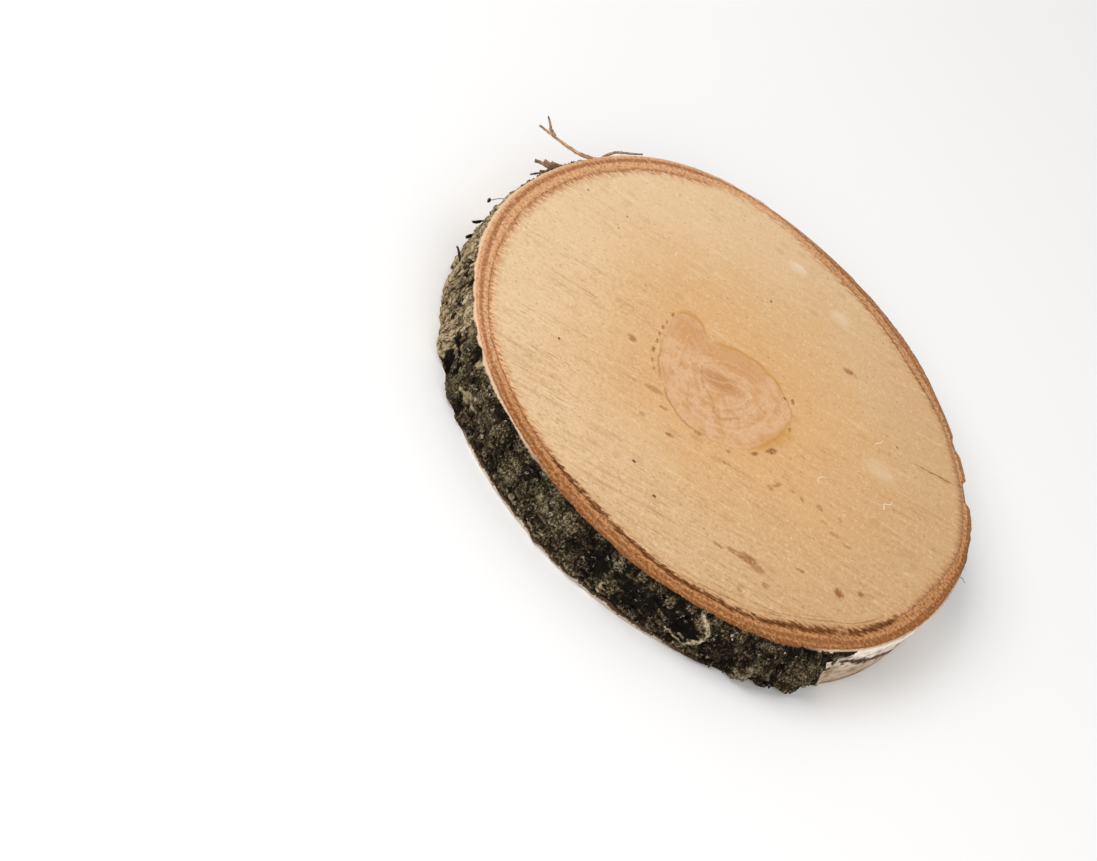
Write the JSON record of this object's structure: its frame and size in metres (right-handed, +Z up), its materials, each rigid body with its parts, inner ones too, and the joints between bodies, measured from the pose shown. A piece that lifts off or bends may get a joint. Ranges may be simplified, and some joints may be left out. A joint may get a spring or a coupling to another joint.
{
  "type": "birch wood slice",
  "caption": "Round slice of birch trunk sawn flat on both faces, bark left on, used as a rustic board, coaster, stand or centrepiece base.",
  "frame": {"origin": "middle of the lower sawn face", "axes": "+Z up along the trunk, out of the upper sawn face; +X towards the smooth white bark at the right of the picture, -Y towards the dark crust"},
  "size_m": [0.2412, 0.2264, 0.0255],
  "materials": {
    "sawn_wood": "sawn, unsealed",
    "bark": "rough, dry, with lichen"
  },
  "bodies": {
    "root": {"birch_slice": "sawn_wood"}
  },
  "joints": []
}
